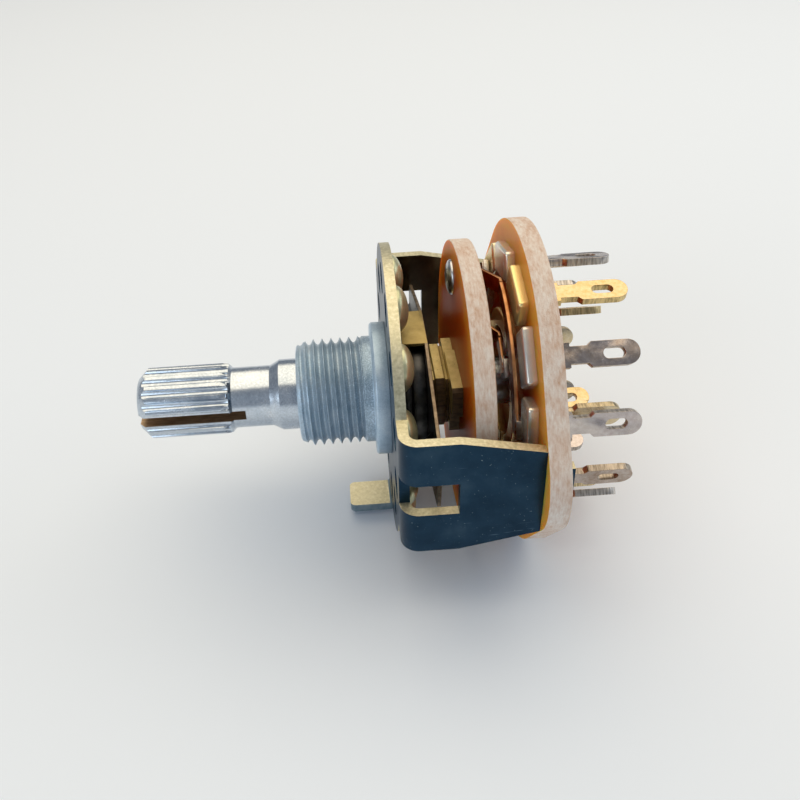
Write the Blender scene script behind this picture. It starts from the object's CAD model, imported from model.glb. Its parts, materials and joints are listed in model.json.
# An open-frame rotary wafer switch, put together from its sheet frame outwards.
# X runs along the shaft, from the splines to the solder tags. Lengths are in metres, and in mm where
# a profile or a test on a mesh uses them.
import json
import math

import bmesh
import bpy
from mathutils import Matrix, Vector

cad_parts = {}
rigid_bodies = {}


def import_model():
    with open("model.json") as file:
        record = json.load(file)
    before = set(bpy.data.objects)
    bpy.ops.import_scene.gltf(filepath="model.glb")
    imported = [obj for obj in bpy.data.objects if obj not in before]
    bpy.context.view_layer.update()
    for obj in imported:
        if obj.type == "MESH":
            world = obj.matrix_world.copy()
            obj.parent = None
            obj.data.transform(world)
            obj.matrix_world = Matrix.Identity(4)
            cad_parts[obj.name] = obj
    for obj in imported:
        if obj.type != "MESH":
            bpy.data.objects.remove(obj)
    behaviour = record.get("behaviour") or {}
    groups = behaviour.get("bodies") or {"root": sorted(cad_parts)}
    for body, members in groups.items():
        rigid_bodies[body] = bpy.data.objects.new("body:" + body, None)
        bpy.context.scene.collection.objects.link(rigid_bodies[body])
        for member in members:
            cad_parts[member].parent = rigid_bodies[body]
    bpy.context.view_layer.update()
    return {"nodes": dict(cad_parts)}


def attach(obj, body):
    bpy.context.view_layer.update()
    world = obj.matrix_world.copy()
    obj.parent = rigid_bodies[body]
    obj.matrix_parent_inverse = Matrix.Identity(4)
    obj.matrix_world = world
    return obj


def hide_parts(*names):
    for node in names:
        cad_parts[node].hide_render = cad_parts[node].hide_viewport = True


for leftover in list(bpy.data.objects):
    bpy.data.objects.remove(leftover)
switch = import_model()
solids = switch["nodes"]
MM = 0.001


# The frame. One blank of zinc-plated sheet steel, 0.8 mm thick: a round plate with twelve detent
# bumps pressed into it, two arms folded back with a window in each, and a lug folded forward. The
# plating is slate blue outside and dark brown inside, and pale straw on bumps and cut edges.
same_corner = 0.002 * MM
same_plane = math.radians(0.5)


def eased_copy(node, piece, ease, turns=2, corner=28, soft=0.0, is_soft=None):
    """The solid of a node as one closed mesh, with its sharp edges rounded by ease and its flats
    shaded evenly. The edges that is_soft(middle in mm) picks are rounded by soft first."""
    shell = bmesh.new()
    shell.from_mesh(solids[node].data)
    bmesh.ops.remove_doubles(shell, verts=shell.verts, dist=same_corner)
    bmesh.ops.dissolve_limit(shell, angle_limit=same_plane, verts=shell.verts, edges=shell.edges,
                             delimit=set())
    if soft:
        rims = [edge for edge in shell.edges if edge.calc_face_angle(0) > math.radians(corner)
                and is_soft((edge.verts[0].co + edge.verts[1].co) / 2 / MM)]
        bmesh.ops.bevel(shell, geom=rims, offset=soft, offset_type="OFFSET", segments=5, profile=0.5,
                        affect="EDGES", clamp_overlap=True)
    for face in shell.faces:
        face.smooth = True
    mesh = bpy.data.meshes.new(piece)
    shell.to_mesh(mesh)
    shell.free()
    thing = bpy.data.objects.new(piece, mesh)
    bpy.context.scene.collection.objects.link(thing)
    edge = thing.modifiers.new("eased edges", "BEVEL")
    edge.width = ease
    edge.segments = turns
    edge.limit_method = "ANGLE"
    edge.angle_limit = math.radians(corner)
    edge.use_clamp_overlap = True
    edge.miter_outer = "MITER_ARC"
    flats = thing.modifiers.new("even flats", "WEIGHTED_NORMAL")
    flats.mode = "FACE_AREA"
    flats.keep_sharp = True
    return thing


def settle(thing):
    """Turns a piece's modifiers into plain mesh."""
    bpy.context.view_layer.update()
    graph = bpy.context.evaluated_depsgraph_get()
    plain = bpy.data.meshes.new_from_object(thing.evaluated_get(graph), preserve_all_data_layers=True,
                                            depsgraph=graph)
    plain.name = thing.name
    thing.modifiers.clear()
    thing.data = plain
    return thing


def finish_by_face(thing, finishes, choose=None):
    """Gives each face the first of the finishes, or the one that choose(middle in mm, normal) returns."""
    thing.data.materials.clear()
    for finish in finishes:
        thing.data.materials.append(finish.material)
    for face in thing.data.polygons:
        wanted = choose(face.center / MM, face.normal) if choose else finishes[0]
        face.material_index = finishes.index(wanted)


class Wiring:
    """Adds nodes to a tree. What goes into a node is a value or what comes out of another node."""

    def __init__(self, tree):
        self.tree = tree

    def fill(self, socket, value):
        """Links or sets one input."""
        if isinstance(value, bpy.types.NodeSocket):
            self.tree.links.new(value, socket)
        else:
            socket.default_value = value

    def add(self, kind, **inputs):
        """A node with some of its inputs filled, by name."""
        node = self.tree.nodes.new(kind)
        for label, value in inputs.items():
            self.fill(node.inputs[label.replace("_", " ")], value)
        return node

    def sum(self, what, *values):
        """The result of one Math node."""
        node = self.tree.nodes.new("ShaderNodeMath")
        node.operation = what
        for socket, value in zip(node.inputs, values):
            self.fill(socket, value)
        return node.outputs[0]


class Finish(Wiring):
    """A material. Its patterns lie on the piece's own Object coordinates."""

    def __init__(self, name, metallic, roughness):
        self.material = bpy.data.materials.new(name)
        self.material.use_nodes = True
        super().__init__(self.material.node_tree)
        self.surface = self.tree.nodes["Principled BSDF"].inputs
        self.surface["Metallic"].default_value = metallic
        self.surface["Roughness"].default_value = roughness
        self.place = self.tree.nodes.new("ShaderNodeTexCoord").outputs["Object"]

    def grain(self, size, stretch=(1, 1, 1), detail=4, rough=0.55):
        """Noise whose marks are about size metres across, drawn out by stretch along X, Y and Z."""
        lay = self.add("ShaderNodeMapping", Vector=self.place, Scale=[1 / (size * s) for s in stretch])
        marks = self.add("ShaderNodeTexNoise", Vector=lay.outputs["Vector"], Scale=1, Detail=detail,
                         Roughness=rough)
        return marks.outputs["Fac"]

    def mark(self, attribute):
        """A number that the piece's mesh carries."""
        carried = self.tree.nodes.new("ShaderNodeAttribute")
        carried.attribute_name = attribute
        return carried.outputs["Fac"]

    def tones(self, value, *stops):
        """A ramp of colours, each stop a place on it and a colour."""
        band = self.add("ShaderNodeValToRGB", Fac=value)
        ramp = band.color_ramp.elements
        for end, (where, colour) in ((ramp[0], stops[0]), (ramp[1], stops[-1])):
            end.position = where
            end.color = (*colour, 1)
        for where, colour in stops[1:-1]:
            ramp.new(where).color = (*colour, 1)
        return band.outputs["Color"]

    def between(self, value, low, high):
        """The value 0..1 spread over low..high."""
        return self.add("ShaderNodeMapRange", Value=value, To_Min=low, To_Max=high).outputs["Result"]

    def blended(self, share, first, second, way="MIX"):
        """Two colours mixed by a share."""
        mixer = self.tree.nodes.new("ShaderNodeMix")
        mixer.data_type = "RGBA"
        mixer.blend_type = way
        ends = {socket.identifier: socket for socket in (*mixer.inputs, *mixer.outputs)}
        for label, value in (("Factor_Float", share), ("A_Color", first), ("B_Color", second)):
            self.fill(ends[label], (*value, 1) if isinstance(value, tuple) else value)
        return ends["Result_Color"]

    def paint(self, colour, *stops):
        """Gives the surface a colour, or the tones that a value picks."""
        self.fill(self.surface["Base Color"], self.tones(colour, *stops) if stops else colour)

    def polish(self, value, low, high):
        """Lets the roughness vary with a value."""
        self.fill(self.surface["Roughness"], self.between(value, low, high))

    def relief(self, height, depth, strength=1.0, under=None):
        """Bumps of that depth in metres, laid over the relief that is under them."""
        bump = self.add("ShaderNodeBump", Height=height, Distance=depth, Strength=strength)
        if under:
            self.fill(bump.inputs["Normal"], under)
        self.fill(self.surface["Normal"], bump.outputs["Normal"])
        return bump.outputs["Normal"]


# How much of a second colour shows, as a grey.
nowhere, half, everywhere = (0, 0, 0), (0.5, 0.5, 0.5), (1, 1, 1)

slate_plating = Finish("slate_plating", 1.0, 0.34)
cloud = slate_plating.grain(2.6 * MM, detail=5)
specks = slate_plating.grain(0.13 * MM, detail=2)
scratches = slate_plating.grain(0.16 * MM, (12, 1, 1.4), detail=1)
tint = slate_plating.tones(cloud, (0.3, (0.01, 0.028, 0.052)), (0.55, (0.016, 0.042, 0.075)),
                           (0.75, (0.03, 0.062, 0.098)))
rubbed = slate_plating.tones(scratches, (0.72, nowhere), (0.8, half))
worn = slate_plating.blended(rubbed, tint, (0.1, 0.16, 0.22))
dots = slate_plating.tones(specks, (0.715, nowhere), (0.76, everywhere))
slate_plating.paint(slate_plating.blended(dots, worn, (0.2, 0.27, 0.3)))
slate_plating.polish(cloud, 0.26, 0.42)
slate_plating.relief(slate_plating.grain(0.3 * MM, (4, 1, 1)), 0.004 * MM, 0.6)

bright_plating = Finish("bright_plating", 0.7, 0.36)
cloud = bright_plating.grain(1.2 * MM, detail=5)
bright_plating.paint(cloud, (0.3, (0.5, 0.51, 0.32)), (0.55, (0.68, 0.69, 0.44)), (0.75, (0.8, 0.8, 0.55)))
bright_plating.polish(cloud, 0.24, 0.4)

inner_plating = Finish("inner_plating", 1.0, 0.32)
cloud = inner_plating.grain(2.0 * MM, detail=5)
inner_plating.paint(cloud, (0.3, (0.07, 0.055, 0.035)), (0.55, (0.11, 0.09, 0.06)),
                    (0.75, (0.17, 0.14, 0.09)))
inner_plating.polish(cloud, 0.24, 0.42)

lug_plating = Finish("pale_slate_plating", 0.9, 0.34)
cloud = lug_plating.grain(1.0 * MM, detail=5)
lug_plating.paint(cloud, (0.3, (0.16, 0.23, 0.27)), (0.55, (0.26, 0.34, 0.38)), (0.75, (0.4, 0.46, 0.48)))

straw_edge = Finish("straw_cut_edge", 0.85, 0.4)
drag = straw_edge.grain(0.25 * MM, detail=3)
straw_edge.paint(drag, (0.3, (0.5, 0.47, 0.31)), (0.6, (0.68, 0.64, 0.46)), (0.8, (0.82, 0.8, 0.66)))
straw_edge.polish(drag, 0.3, 0.55)
straw_edge.relief(straw_edge.grain(0.12 * MM), 0.01 * MM, 0.7)

plate_front, plate_back = 1.2, 2.0
rim_from, arm_from, arm_end = 11.6, 12.3, 10.6
lug_half_width, lug_top = 1.7, -11.9
# How much of a normal lies along an axis where a face looks that way, and where it does so squarely.
facing, square_on = 0.7, 0.9


def sheet_side(middle, normal):
    """The finish of a face of the frame: of the lug, of an arm, of the plate's rim, a bump or a flat."""
    x, y, z = middle
    along_x, along_z = abs(normal.x) > facing, abs(normal.z) > facing
    on_plate = x < plate_back + 0.2
    if abs(y) < lug_half_width and z < lug_top:
        return straw_edge if normal.z > square_on else lug_plating
    if abs(y) > arm_from and not (on_plate and along_x):
        if along_z or (x > arm_end and along_x):
            return straw_edge
        return inner_plating if y * normal.y < 0 else slate_plating
    if on_plate and math.hypot(y, z) > rim_from and not along_x:
        return straw_edge
    if x > plate_back + 0.02 and normal.x > -0.1:
        return bright_plating
    return inner_plating if x > plate_back - 0.1 and normal.x > square_on else slate_plating


sheet_frame = settle(eased_copy("frame", "sheet_frame", 0.07 * MM))
finish_by_face(sheet_frame, [slate_plating, straw_edge, bright_plating, lug_plating, inner_plating],
               sheet_side)
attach(sheet_frame, "housing")
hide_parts("frame")


# The bush. Die-cast zinc, turned after casting: a fine 0.75 mm thread in front of a collar, and a
# spigot that is pressed through the plate and staked over behind it. The bore carries the shaft.
def span(node):
    """Where a solid starts and ends along the shaft, in mm."""
    along = [vert.co.x / MM for vert in solids[node].data.vertices]
    return round(min(along), 3), round(max(along), 3)


bush_tip, bush_end = span("bush")
thread_from, thread_to = bush_tip + 0.08, -0.05
bore, thread_edge, collar, spigot, stake = 3.02, 4.47, 5.58, 4.8, 5.28
bush_around, thread_rings = 144, 241
crest_height = 0.92
spare_turns = 40.0

cut_thread = bpy.data.node_groups.new("cut_thread", "GeometryNodeTree")
cut_thread.interface.new_socket("Geometry", in_out="INPUT", socket_type="NodeSocketGeometry")
for label, value in (("Start", thread_from * MM), ("End", thread_to * MM), ("Radius", thread_edge * MM),
                     ("Pitch", 0.75 * MM), ("Depth", 0.46 * MM), ("Lead", 1.0 * MM),
                     ("Lead depth", 0.42 * MM), ("Plain end", 0.65 * MM)):
    size = cut_thread.interface.new_socket(label, in_out="INPUT", socket_type="NodeSocketFloat")
    size.default_value = value
thread_metal = cut_thread.interface.new_socket("Metal", in_out="INPUT", socket_type="NodeSocketMaterial")
cut_thread.interface.new_socket("Geometry", in_out="OUTPUT", socket_type="NodeSocketGeometry")

# A flat grid is rolled into a tube. The phase runs from 0 to 1 over each turn of the thread, and the
# spare turns keep it above nought. The crest is cut flat, and the groove fades out before the collar.
wires = Wiring(cut_thread)
given = cut_thread.nodes.new("NodeGroupInput").outputs
sheet = wires.add("GeometryNodeMeshGrid", Size_X=1.0, Size_Y=1.0, Vertices_X=thread_rings,
                  Vertices_Y=bush_around + 1)
where = cut_thread.nodes.new("GeometryNodeInputPosition")
apart = wires.add("ShaderNodeSeparateXYZ", Vector=where.outputs[0])
along = wires.sum("ADD", apart.outputs["X"], 0.5)
turns_round = wires.sum("ADD", apart.outputs["Y"], 0.5)
length = wires.sum("SUBTRACT", given["End"], given["Start"])
reach = wires.sum("ADD", given["Start"], wires.sum("MULTIPLY", along, length))
turns_along = wires.sum("DIVIDE", reach, given["Pitch"])
turns_ahead = wires.sum("SUBTRACT", spare_turns, turns_round)
phase = wires.sum("FRACT", wires.sum("ADD", turns_along, turns_ahead))
saw = wires.sum("SUBTRACT", wires.sum("MULTIPLY", phase, 2.0), 1.0)
ridge = wires.sum("SUBTRACT", 1.0, wires.sum("ABSOLUTE", saw))
crest = wires.sum("MINIMUM", ridge, crest_height)
groove = wires.sum("SUBTRACT", crest_height ** 2, wires.sum("MULTIPLY", crest, crest))
plain_from = wires.sum("SUBTRACT", given["End"], given["Plain end"])
fade_over = wires.sum("MULTIPLY", given["Pitch"], 0.5)
to_plain = wires.sum("DIVIDE", wires.sum("SUBTRACT", plain_from, reach), fade_over)
fade = wires.sum("MAXIMUM", 0.0, wires.sum("MINIMUM", 1.0, to_plain))
full_depth = wires.sum("DIVIDE", given["Depth"], crest_height ** 2)
deep = wires.sum("MULTIPLY", wires.sum("MULTIPLY", groove, full_depth), fade)
past_start = wires.sum("SUBTRACT", reach, given["Start"])
lead = wires.sum("SUBTRACT", 1.0, wires.sum("DIVIDE", past_start, given["Lead"]))
nose = wires.sum("MULTIPLY", wires.sum("MAXIMUM", 0.0, lead), given["Lead depth"])
radius = wires.sum("SUBTRACT", given["Radius"], wires.sum("MAXIMUM", deep, nose))
turn = wires.sum("MULTIPLY", turns_round, math.tau)
spot = wires.add("ShaderNodeCombineXYZ", X=reach,
                 Y=wires.sum("MULTIPLY", radius, wires.sum("COSINE", turn)),
                 Z=wires.sum("MULTIPLY", radius, wires.sum("SINE", turn)))
rolled = wires.add("GeometryNodeSetPosition", Geometry=sheet.outputs["Mesh"], Position=spot.outputs[0])
marked = wires.add("GeometryNodeStoreNamedAttribute", Geometry=rolled.outputs[0], Name="crest",
                   Value=wires.sum("MULTIPLY", ridge, fade))
seam = wires.add("GeometryNodeMergeByDistance", Geometry=marked.outputs[0], Distance=0.0005 * MM)
real = wires.add("GeometryNodeRealizeInstances", Geometry=seam.outputs[0])
dressed = wires.add("GeometryNodeSetMaterial", Geometry=real.outputs[0], Material=given["Metal"])
wires.add("NodeGroupOutput", Geometry=dressed.outputs[0])


def turned(piece, profile, around, ease=0.0):
    """A piece turned about the X axis from (x, radius) points in mm, with its corners eased."""
    points = [Vector(p) for p in profile]
    if ease:
        soft = []
        for before, corner, after in zip(points, points[1:], points[2:]):
            back, ahead = before - corner, after - corner
            cut = min(ease, back.length * 0.45, ahead.length * 0.45)
            leave, meet = corner + back.normalized() * cut, corner + ahead.normalized() * cut
            soft += [leave, leave.lerp(meet, 0.5).lerp(corner, 0.4), meet]
        points = [points[0], *soft, points[-1]]
    angles = [math.tau * k / around for k in range(around)]
    shell = bmesh.new()
    rings = []
    for p in points:
        if p.y:
            rings.append([shell.verts.new(Vector((p.x, p.y * math.cos(a), p.y * math.sin(a))) * MM)
                          for a in angles])
        else:
            rings.append([shell.verts.new((p.x * MM, 0, 0))] * around)
    for one, two in zip(rings, rings[1:]):
        for k in range(around):
            corners = []
            for vert in (one[k], one[(k + 1) % around], two[(k + 1) % around], two[k]):
                if vert not in corners:
                    corners.append(vert)
            shell.faces.new(corners)
    mesh = bpy.data.meshes.new(piece)
    shell.to_mesh(mesh)
    shell.free()
    thing = bpy.data.objects.new(piece, mesh)
    bpy.context.scene.collection.objects.link(thing)
    return thing


def closed_up(thing, apart_by=same_corner, crease=32):
    """Merges doubles, turns the faces outwards and keeps edges sharper than crease degrees sharp."""
    shell = bmesh.new()
    shell.from_mesh(thing.data)
    bmesh.ops.remove_doubles(shell, verts=shell.verts, dist=apart_by)
    bmesh.ops.recalc_face_normals(shell, faces=shell.faces)
    for face in shell.faces:
        face.smooth = True
    shell.to_mesh(thing.data)
    shell.free()
    thing.data.set_sharp_from_angle(angle=math.radians(crease))
    return thing


def join(things, piece):
    """One object out of several."""
    shell = bmesh.new()
    for thing in things:
        shell.from_mesh(thing.data)
    mesh = bpy.data.meshes.new(piece)
    shell.to_mesh(mesh)
    shell.free()
    for thing in things:
        bpy.data.objects.remove(thing)
    whole = bpy.data.objects.new(piece, mesh)
    bpy.context.scene.collection.objects.link(whole)
    return whole


cast_zinc = Finish("cast_zinc", 0.45, 0.42)
blotch = cast_zinc.grain(1.4 * MM, detail=5)
fine = cast_zinc.grain(0.11 * MM, detail=3)
tint = cast_zinc.tones(blotch, (0.28, (0.35, 0.5, 0.64)), (0.55, (0.5, 0.65, 0.79)),
                       (0.8, (0.65, 0.76, 0.86)))
sand = cast_zinc.tones(fine, (0.36, (0.1, 0.14, 0.18)), (0.64, (0.7, 0.74, 0.74)))
torn = cast_zinc.sum("ADD", cast_zinc.mark("crest"), cast_zinc.between(fine, -0.2, 0.2))
dark_line = cast_zinc.tones(torn, (0.64, nowhere), (0.74, (0.4, 0.4, 0.4)), (0.83, nowhere))
bright_line = cast_zinc.tones(torn, (0.83, nowhere), (0.91, everywhere))
shaded = cast_zinc.blended(dark_line, cast_zinc.blended(0.16, tint, sand), (0.05, 0.08, 0.11))
cast_zinc.paint(cast_zinc.blended(bright_line, shaded, (0.95, 1.0, 1.0)))
cast_zinc.polish(fine, 0.26, 0.5)
cast_zinc.relief(fine, 0.006 * MM, 0.35)

thread = bpy.data.objects.new("thread", bpy.data.meshes.new("thread"))
bpy.context.scene.collection.objects.link(thread)
cutter = thread.modifiers.new("cut thread", "NODES")
cutter.node_group = cut_thread
cutter[thread_metal.identifier] = cast_zinc.material
settle(thread)
bush_front = turned("bush_front", [(plate_front, bore), (-5.3, bore), (-5.5, 3.1), (bush_tip, 3.8),
                                   (bush_tip, 3.95), (thread_from, 4.05)], bush_around, 0.04)
bush_back = turned("bush_back", [(thread_to, thread_edge), (0, 4.5), (0, 5.42), (0.16, collar),
                                 (plate_front, collar), (plate_front, spigot), (plate_back, spigot),
                                 (plate_back + 0.02, stake), (2.2, stake), (bush_end - 0.02, 5.05),
                                 (bush_end - 0.02, 3.2), (2.2, bore), (plate_front, bore)],
                   bush_around, 0.05)
bush = closed_up(join([thread, bush_front, bush_back], "threaded_bush"), 0.004 * MM)
finish_by_face(bush, [cast_zinc])
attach(bush, "housing")
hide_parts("bush")


# The shaft. A bright turned rod with eighteen rolled splines, split down the middle so that a knob
# springs on to it, a neck behind the splines, and two flats at the back that drive the rotor.
bright_metal = Finish("bright_turned_metal", 1.0, 0.24)
turning = bright_metal.grain(0.05 * MM, (1, 30, 30), detail=2)
dull = bright_metal.grain(1.8 * MM, detail=4)
spots = bright_metal.grain(0.16 * MM, detail=4)
tint = bright_metal.tones(dull, (0.3, (0.47, 0.54, 0.62)), (0.6, (0.62, 0.68, 0.75)),
                          (0.8, (0.76, 0.79, 0.82)))
flecks = bright_metal.tones(spots, (0.34, (0.12, 0.11, 0.1)), (0.5, (0.42, 0.48, 0.54)),
                            (0.66, (0.95, 0.97, 1.0)))
bright_metal.paint(bright_metal.blended(0.16, tint, flecks))
bright_metal.polish(dull, 0.16, 0.34)
bright_metal.relief(spots, 0.004 * MM, 0.35, bright_metal.relief(turning, 0.006 * MM, 0.5))

sawn_metal = Finish("sawn_metal", 0.85, 0.42)
saw_marks = sawn_metal.grain(0.12 * MM, (8, 1, 1), detail=4)
sawn_metal.paint(saw_marks, (0.3, (0.3, 0.2, 0.12)), (0.7, (0.6, 0.45, 0.3)))

shaft_tip = span("shaft")[0]
spline_end, split_end, split_half = shaft_tip + 7.3, shaft_tip + 8.9, 0.46
run_out, run_out_radius = 0.4, 2.74


def lower_run_out(thing):
    """Slopes the splines down over their last stretch, and leaves the split's walls flat."""
    shell = bmesh.new()
    shell.from_mesh(thing.data)
    bmesh.ops.bisect_plane(shell, geom=shell.verts[:] + shell.edges[:] + shell.faces[:], dist=1e-7,
                           plane_co=((spline_end - run_out) * MM, 0, 0), plane_no=(1, 0, 0))
    for vert in shell.verts:
        x, y, z = vert.co / MM
        if abs(x - spline_end) > 0.01 or math.hypot(y, z) < run_out_radius:
            continue
        if abs(z) < split_half:
            vert.co.y = math.copysign(math.sqrt(run_out_radius ** 2 - z ** 2), y) * MM
        else:
            vert.co.yz *= run_out_radius / math.hypot(y, z)
    shell.to_mesh(thing.data)
    shell.free()


def shaft_side(middle, normal):
    """Sawn on the walls of the split, bright everywhere else."""
    in_split = middle.x < split_end and abs(middle.z) < split_half
    inwards = middle.z * normal.z < 0 and abs(normal.z) > square_on
    return sawn_metal if in_split and inwards else bright_metal


shaft = eased_copy("shaft", "splined_shaft", 0.05 * MM, corner=24)
lower_run_out(shaft)
settle(shaft)
finish_by_face(shaft, [bright_metal, sawn_metal], shaft_side)
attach(shaft, "rotor")
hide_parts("shaft")


# The retaining ring and the spacer washer. Dark, oiled spring steel: the ring snaps into the
# shaft's groove behind the bush, and the washer lies between it and the detent spring.
oiled_steel = Finish("oiled_steel", 1.0, 0.3)
film = oiled_steel.grain(0.7 * MM, detail=4)
oiled_steel.paint(film, (0.3, (0.05, 0.05, 0.05)), (0.7, (0.13, 0.125, 0.12)))
oiled_steel.polish(film, 0.22, 0.5)

for node, piece in (("retaining_ring", "snap_ring"), ("spacer_washer", "shaft_washer")):
    thing = settle(eased_copy(node, piece, 0.06 * MM))
    finish_by_face(thing, [oiled_steel])
    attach(thing, "rotor")
    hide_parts(node)


# The detent spring. A leaf of hard sheet 0.3 mm thick that turns with the shaft: a pressed nose at
# each end rides over the bumps, and two flanges stiffen its middle and meet the stop tab.
leaf_steel = Finish("passivated_leaf", 1.0, 0.32)
haze = leaf_steel.grain(1.1 * MM, detail=4)
leaf_steel.paint(haze, (0.3, (0.26, 0.19, 0.07)), (0.6, (0.4, 0.3, 0.115)), (0.8, (0.5, 0.4, 0.2)))
leaf_steel.polish(haze, 0.24, 0.46)
leaf_steel.relief(leaf_steel.grain(0.14 * MM), 0.006 * MM, 0.6)

leaf_edge = Finish("leaf_edge", 0.8, 0.4)
haze = leaf_edge.grain(0.5 * MM, detail=4)
leaf_edge.paint(haze, (0.3, (0.12, 0.09, 0.06)), (0.7, (0.36, 0.28, 0.19)))

flange_end, leaf_flat = 4.12, 0.75


def leaf_side(middle, normal):
    """Oiled on the leaf's flats, brown on its cut edge and passivated on the flanges."""
    if abs(normal.x) > leaf_flat:
        return oiled_steel
    return leaf_edge if middle.x > flange_end else leaf_steel


detent_leaf = settle(eased_copy("detent_spring", "detent_leaf", 0.05 * MM))
finish_by_face(detent_leaf, [leaf_steel, oiled_steel, leaf_edge], leaf_side)
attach(detent_leaf, "rotor")
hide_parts("detent_spring")


# The retainer and the drive plate. Small pressed pieces with a yellow passivate: the retainer
# clamps the spring on the flats, and the S-shaped plate takes the rotor wafer round.
yellow_steel = Finish("yellow_passivate", 0.75, 0.4)
haze = yellow_steel.grain(0.8 * MM, detail=4)
pits = yellow_steel.grain(0.2 * MM, detail=2)
tint = yellow_steel.tones(haze, (0.3, (0.52, 0.4, 0.15)), (0.6, (0.68, 0.53, 0.22)),
                          (0.8, (0.78, 0.66, 0.34)))
pitted = yellow_steel.tones(pits, (0.27, everywhere), (0.3, nowhere))
yellow_steel.paint(yellow_steel.blended(pitted, tint, (0.05, 0.035, 0.015)))
yellow_steel.relief(pits, 0.01 * MM, 0.4)

brown_edge = Finish("brown_sheared_edge", 0.6, 0.5)
haze = brown_edge.grain(0.3 * MM, (3, 1, 1), detail=4)
brown_edge.paint(haze, (0.3, (0.05, 0.03, 0.015)), (0.7, (0.16, 0.1, 0.045)))


def pressed_side(middle, normal):
    """Brown where a side was sheared and faces along Y."""
    return brown_edge if abs(normal.y) > 0.5 else yellow_steel


for node, piece in (("spring_retainer", "spring_collar"), ("rotor_drive", "drive_plate")):
    thing = settle(eased_copy(node, piece, 0.07 * MM))
    finish_by_face(thing, [yellow_steel, brown_edge], pressed_side)
    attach(thing, "rotor")
    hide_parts(node)


# The rotor wafer. Paper and resin laminate 1.6 mm thick, punched from the sheet: its faces are
# glossy orange-brown, and its rim shows the pale torn fibres of the layers.
laminate_face = Finish("laminate_face", 0.0, 0.34)
laminate_face.surface["Specular IOR Level"].default_value = 0.025
laminate_face.surface["Subsurface Weight"].default_value = 0.8
laminate_face.surface["Subsurface Radius"].default_value = (1.0, 0.2, 0.03)
laminate_face.surface["Subsurface Scale"].default_value = 3.5 * MM
pulp = laminate_face.grain(3.0 * MM, detail=6, rough=0.6)
flat = laminate_face.add("ShaderNodeVectorMath", Vector=laminate_face.place)
flat.operation = "MULTIPLY"
flat.inputs[1].default_value = (0, 1, 1)
off_axis = laminate_face.add("ShaderNodeVectorMath", Vector=flat.outputs["Vector"])
off_axis.operation = "LENGTH"
pale_from, pale_over = 7.5 * MM, 6 * MM
glow = laminate_face.sum("SUBTRACT", off_axis.outputs["Value"], pale_from)
glow = laminate_face.sum("DIVIDE", glow, pale_over)
glow = laminate_face.sum("ADD", glow, laminate_face.between(pulp, -0.25, 0.25))
laminate_face.paint(glow, (0, (0.34, 0.045, 0.002)), (0.35, (0.43, 0.075, 0.004)),
                    (0.65, (0.56, 0.18, 0.014)), (0.95, (0.68, 0.33, 0.05)))
laminate_face.polish(pulp, 0.28, 0.42)

laminate_rim = Finish("laminate_rim", 0.0, 0.72)
layers = laminate_rim.grain(0.15 * MM, (1, 4, 4), detail=5, rough=0.65)
mottle = laminate_rim.grain(0.9 * MM, (1, 2, 2), detail=6, rough=0.7)
crumbs = laminate_rim.grain(0.12 * MM, detail=4)
tint = laminate_rim.tones(mottle, (0.32, (0.5, 0.28, 0.16)), (0.46, (0.65, 0.5, 0.41)),
                          (0.62, (0.76, 0.7, 0.64)))
streaks = laminate_rim.tones(layers, (0.3, (0.45, 0.27, 0.17)), (0.46, (0.65, 0.51, 0.42)),
                             (0.66, (0.83, 0.79, 0.74)))
laminate_rim.paint(laminate_rim.blended(0.4, tint, streaks))
laminate_rim.relief(crumbs, 0.05 * MM, 0.7, laminate_rim.relief(layers, 0.05 * MM, 0.6))

wafer_flat = 0.72


def wafer_side(middle, normal):
    """The sheet's own face on the flats, torn fibres on the rim and in the holes."""
    return laminate_face if abs(normal.x) > wafer_flat else laminate_rim


rotor_wafer = settle(eased_copy("rotor_wafer", "rotor_disc", 0.12 * MM, 3))
finish_by_face(rotor_wafer, [laminate_face, laminate_rim], wafer_side)
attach(rotor_wafer, "rotor")
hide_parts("rotor_wafer")


# The push-on washer behind the rotor wafer, and the three rivets through it. Plain bright metal:
# the rivets' domed heads are in front, and their closed ends hold the contact springs.
soft_metal = Finish("rivet_metal", 1.0, 0.28)
dull = soft_metal.grain(0.5 * MM, detail=4)
soft_metal.paint(dull, (0.3, (0.42, 0.43, 0.45)), (0.7, (0.72, 0.72, 0.73)))
soft_metal.polish(dull, 0.2, 0.4)

push_washer = settle(eased_copy("rotor_clip", "push_washer", 0.06 * MM))
finish_by_face(push_washer, [soft_metal])
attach(push_washer, "rotor")
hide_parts("rotor_clip")

# Copies of a piece are turned about the shaft's axis, each from its own point of a line that has
# no length. The faces marked as cut edges then get the second finish.
ring_of = bpy.data.node_groups.new("ring_of", "GeometryNodeTree")
ring_of.interface.new_socket("Geometry", in_out="INPUT", socket_type="NodeSocketGeometry")
ring_sockets = {}
for label, kind in (("Count", "NodeSocketInt"), ("First angle", "NodeSocketFloat"),
                    ("Flat", "NodeSocketMaterial"), ("Edge", "NodeSocketMaterial")):
    ring_sockets[label] = ring_of.interface.new_socket(label, in_out="INPUT", socket_type=kind)
ring_of.interface.new_socket("Geometry", in_out="OUTPUT", socket_type="NodeSocketGeometry")
wires = Wiring(ring_of)
given = ring_of.nodes.new("NodeGroupInput").outputs
stations = wires.add("GeometryNodeMeshLine", Count=given["Count"], Offset=(0, 0, 0))
number = ring_of.nodes.new("GeometryNodeInputIndex")
step = wires.sum("DIVIDE", math.tau, given["Count"])
angle = wires.sum("ADD", given["First angle"], wires.sum("MULTIPLY", number.outputs[0], step))
aim = wires.add("ShaderNodeCombineXYZ", X=angle)
copies = wires.add("GeometryNodeInstanceOnPoints", Points=stations.outputs[0],
                   Instance=given["Geometry"], Rotation=aim.outputs[0])
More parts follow.
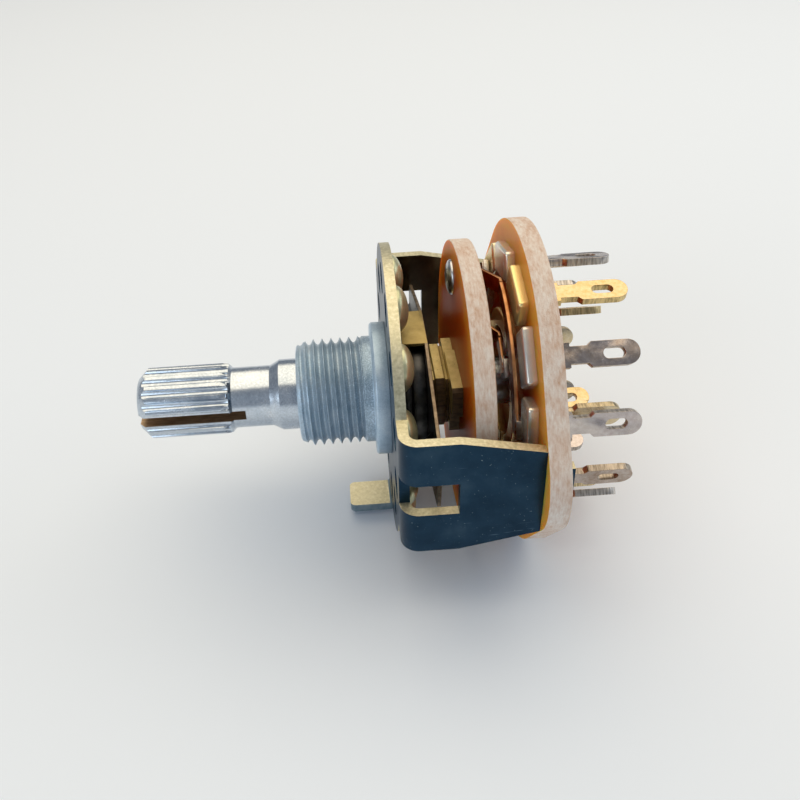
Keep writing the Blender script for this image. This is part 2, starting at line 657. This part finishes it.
real = wires.add("GeometryNodeRealizeInstances", Geometry=copies.outputs[0])
plain = wires.add("GeometryNodeSetMaterial", Geometry=real.outputs[0], Material=given["Flat"])
cut = wires.add("GeometryNodeInputNamedAttribute", Name="cut_edge")
cut.data_type = "BOOLEAN"
edged = wires.add("GeometryNodeSetMaterial", Geometry=plain.outputs[0],
                  Selection=cut.outputs["Attribute"], Material=given["Edge"])
wires.add("NodeGroupOutput", Geometry=edged.outputs[0])


def ring_copies(thing, count, first, flat, edge, is_edge):
    """Copies a piece round the shaft's axis. is_edge marks the faces that get the second finish."""
    settle(thing)
    mark = thing.data.attributes.new("cut_edge", "BOOLEAN", "FACE")
    mark.data.foreach_set("value", [is_edge(face.center / MM, face.normal) for face in thing.data.polygons])
    spread = thing.modifiers.new("ring", "NODES")
    spread.node_group = ring_of
    spread[ring_sockets["Count"].identifier] = count
    spread[ring_sockets["First angle"].identifier] = math.radians(first)
    spread[ring_sockets["Flat"].identifier] = flat.material
    spread[ring_sockets["Edge"].identifier] = edge.material
    settle(thing)


poles, rivet_angle, rivet_ring, shank = 3, 70, 9.05, 0.79
rotor_front, rotor_back = span("rotor_wafer")
leaf_back = rotor_back + 0.25
head = [(rotor_front - ahead, radius) for ahead, radius in
        ((0.49, 0), (0.47, 0.6), (0.37, 1.05), (0.21, 1.36), (0.09, 1.44), (0, 1.45))]
tail = [(leaf_back + behind, radius) for behind, radius in
        ((0, 1.15), (0.14, 1.08), (0.24, 0.8), (0.26, 0))]

rivet = turned("rotor_rivets", [*head, (rotor_front, shank), (leaf_back, shank), *tail], 40)
closed_up(rivet, crease=50)
rivet.data.transform(Matrix.Translation((0, rivet_ring * MM, 0)))
ring_copies(rivet, poles, rivet_angle, soft_metal, soft_metal, lambda middle, normal: False)
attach(rivet, "rotor")
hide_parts("rotor_rivet_1", "rotor_rivet_2", "rotor_rivet_3")


# The rotor's contact springs. Thin copper alloy leaves riveted behind the rotor wafer: one finger
# wipes the ring of a common tag and the other the pads of the outer tags, each with a silver tip.
copper_leaf = Finish("copper_leaf", 1.0, 0.28)
bloom = copper_leaf.grain(0.9 * MM, detail=5)
copper_leaf.paint(bloom, (0.3, (0.3, 0.13, 0.05)), (0.6, (0.55, 0.27, 0.12)), (0.8, (0.72, 0.42, 0.22)))
copper_leaf.polish(bloom, 0.2, 0.42)

silver_tip = Finish("silver_tip", 1.0, 0.35)
bloom = silver_tip.grain(0.2 * MM, detail=4)
silver_tip.paint(bloom, (0.3, (0.45, 0.42, 0.36)), (0.7, (0.75, 0.72, 0.66)))

inner_turn, outer_turn = 65, 95
inner_tip, outer_tip = 9, 4.9
inner_reach, risen = 7, 10.15


def turn_back(thing, angle):
    """Turns a mesh back by angle degrees about X, so that its own angle is nought."""
    thing.data.transform(Matrix.Rotation(math.radians(-angle), 4, "X"))


def on_tip(middle, normal):
    """The silver squares at the ends of the inner and the outer finger, by their turn from the rivet."""
    turned_by = math.degrees(math.atan2(middle.z, middle.y))
    if middle.yz.length < inner_reach:
        at_tip = abs(turned_by - inner_turn) < inner_tip
    else:
        at_tip = abs(turned_by - outer_turn) < outer_tip
    return middle.x > risen and at_tip


contact = settle(eased_copy("contact_spring_1", "contact_springs", 0.03 * MM))
turn_back(contact, rivet_angle)
ring_copies(contact, poles, rivet_angle, copper_leaf, silver_tip, on_tip)
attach(contact, "rotor")
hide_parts("contact_spring_1", "contact_spring_2", "contact_spring_3")


# The terminal wafer. The same laminate as the rotor wafer, and just as thick, with two rounded ears
# that the arms' tabs pass through. All fifteen tags are fixed in it.
stator_wafer = settle(eased_copy("stator_wafer", "terminal_wafer", 0.14 * MM, 3))
finish_by_face(stator_wafer, [laminate_face, laminate_rim], wafer_side)
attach(stator_wafer, "housing")
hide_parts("stator_wafer")


# The outer tags. Twelve pieces of silver-plated brass sheet, 0.6 mm thick: a contact pad in front
# of the wafer, a stem through it, and a solder eye behind. The plating has gone brown in places,
# and the cut edges show the fine teeth of the shear.
tag_silver = Finish("tarnished_silver", 1.0, 0.3)
tarnish = tag_silver.grain(1.6 * MM, detail=5, rough=0.6)
wear = tag_silver.grain(0.3 * MM, detail=4)
sway = tag_silver.grain(2.4 * MM, detail=1)
tone = tag_silver.sum("ADD", tag_silver.mark("tag_tone"), tag_silver.between(tarnish, -0.3, 0.3))
tint = tag_silver.tones(tone, (0, (0.66, 0.47, 0.19)), (0.2, (0.66, 0.54, 0.34)), (0.4, (0.64, 0.56, 0.5)),
                        (0.6, (0.52, 0.45, 0.44)), (0.8, (0.4, 0.31, 0.25)), (1, (0.24, 0.15, 0.09)))
handled = tag_silver.tones(wear, (0.3, (0.25, 0.2, 0.15)), (0.7, (0.85, 0.82, 0.78)))
tag_silver.paint(tag_silver.blended(0.25, tint, handled))
tag_silver.polish(wear, 0.16, 0.32)
tag_silver.relief(wear, 0.008 * MM, 0.5, tag_silver.relief(sway, 0.5 * MM, 0.6))

tag_edge = Finish("sheared_edge", 0.9, 0.36)
shear = tag_edge.grain(0.16 * MM, (1, 6, 6), detail=2)
tint = tag_edge.tones(tag_edge.mark("tag_tone"), (0, (0.72, 0.56, 0.27)), (0.4, (0.62, 0.6, 0.58)),
                      (1, (0.45, 0.36, 0.26)))
teeth = tag_edge.tones(shear, (0.36, (0.55, 0.53, 0.5)), (0.5, (0.85, 0.84, 0.82)),
                       (0.64, (1.1, 1.08, 1.05)))
tag_edge.paint(tag_edge.blended(1.0, tint, teeth, "MULTIPLY"))
tag_edge.relief(shear, 0.04 * MM, 0.8)

pad_silver = Finish("contact_pad", 0.75, 0.27)
bloom = pad_silver.grain(1.5 * MM, detail=4)
tone = pad_silver.sum("ADD", pad_silver.mark("tag_tone"), pad_silver.between(bloom, -0.5, 0.5))
pad_silver.paint(tone, (0, (0.92, 0.74, 0.32)), (0.3, (0.88, 0.75, 0.44)), (0.5, (0.84, 0.79, 0.68)),
                 (0.9, (0.66, 0.63, 0.6)))

stator_front, stator_back = span("stator_wafer")


def lay_on_pads(thing, finish):
    """Puts a finish on the parts of the tags in front of the wafer."""
    thing.data.materials.append(finish.material)
    for face in thing.data.polygons:
        if face.center.x < stator_front * MM:
            face.material_index = len(thing.data.materials) - 1


def give_tones(thing, first, values):
    """Gives every tag on a ring its own degree of tarnish, by the angle at which it stands."""
    own = thing.data.attributes.new("tag_tone", "FLOAT", "FACE")
    step = 360 / len(values)
    for face in thing.data.polygons:
        angle = math.degrees(math.atan2(face.center.z, face.center.y))
        own.data[face.index].value = values[round((angle - first) / step) % len(values)]


def across_tag(middle, normal):
    """The cut edges of a tag that stands at angle nought: its flats face along Y."""
    return middle.x > stator_back + 0.1 and abs(normal.y) < 0.6


def on_pad(middle):
    """The part of a tag that stands clear in front of the wafer."""
    return middle.x < stator_front - 0.1


outer_count, outer_first = 12, 15
outer_tag = settle(eased_copy("terminal_01", "outer_tags", 0.05 * MM, soft=0.3 * MM, is_soft=on_pad))
turn_back(outer_tag, outer_first)
ring_copies(outer_tag, outer_count, outer_first, tag_silver, tag_edge, across_tag)
lay_on_pads(outer_tag, pad_silver)
give_tones(outer_tag, outer_first, (0.5, 0.3, 0.5, 0.0, 0.72, 0.55, 0.8, 0.4, 0.1, 0.6, 0.3, 0.15))
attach(outer_tag, "housing")
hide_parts(*[f"terminal_{k:02d}" for k in range(1, 13)])


# The common tags. Three more of the same sheet on an inner ring, one to a pole. In front of the wafer
# each has an arc of contact ring, which an inner finger wipes.
common_first = 60
common_tag = settle(eased_copy("common_1", "common_tags", 0.05 * MM, soft=0.15 * MM, is_soft=on_pad))
turn_back(common_tag, common_first)
ring_copies(common_tag, poles, common_first, tag_silver, tag_edge, across_tag)
lay_on_pads(common_tag, pad_silver)
give_tones(common_tag, common_first, (0.05, 0.15, 0.05))
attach(common_tag, "housing")
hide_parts("common_1", "common_2", "common_3")


# The table. One plain pale sheet, level, that the switch lies on: it is just under the terminal
# wafer's lowest point.
floor_level, floor_half = -13.47 * MM, 3
floor_mesh = bpy.data.meshes.new("floor")
floor_mesh.from_pydata([(x * floor_half, y * floor_half, floor_level)
                        for x, y in ((-1, -1), (1, -1), (1, 1), (-1, 1))], [], [(0, 1, 2, 3)])
floor = bpy.data.objects.new("floor", floor_mesh)
bpy.context.scene.collection.objects.link(floor)
pale_floor = Finish("pale_floor", 0.0, 0.85)
pale_floor.paint((0.8, 0.87, 0.97, 1))
floor.data.materials.append(pale_floor.material)


# The light. One broad warm lamp above the switch, a weaker cool one in front of its splines, a
# third at its tags, and a pale room.
def lamp(name, at, size, watts, colour):
    """A square lamp that faces the switch."""
    light = bpy.data.lights.new(name, "AREA")
    light.shape = "SQUARE"
    light.size = size
    light.energy = watts
    light.color = colour
    thing = bpy.data.objects.new(name, light)
    thing.location = at
    thing.rotation_euler = (-Vector(at)).to_track_quat("-Z", "Y").to_euler()
    bpy.context.scene.collection.objects.link(thing)


lamp("top lamp", (0.02, 0.1, 0.34), 0.58, 1.72, (1.0, 0.85, 0.62))
lamp("front lamp", (-0.26, -0.3, 0.16), 0.24, 0.38, (0.82, 0.92, 1.0))
lamp("end lamp", (0.3, 0.04, 0.12), 0.2, 0.16, (0.86, 0.93, 1.0))
room = bpy.data.worlds.new("room")
room.use_nodes = True
room.node_tree.nodes["Background"].inputs["Color"].default_value = (0.8, 0.88, 1.0, 1)
room.node_tree.nodes["Background"].inputs["Strength"].default_value = 0.3
bpy.context.scene.world = room
bpy.context.scene.view_settings.view_transform = "Standard"


# The camera, where the photograph was taken from: above the near arm, about 74 mm from the switch.
# Its place, turn, lens and shift were fitted to points of the photograph.
camera = bpy.data.objects.new("camera", bpy.data.cameras.new("camera"))
camera.data.sensor_width = 36
camera.data.lens = 39.2
camera.data.shift_x = 0.0387
camera.data.clip_start = 0.001
camera.location = (-1.608 * MM, -59.059 * MM, 44.308 * MM)
camera.rotation_euler = [math.radians(a) for a in (52.333, 2.474, -3.106)]
bpy.context.scene.collection.objects.link(camera)
bpy.context.scene.camera = camera
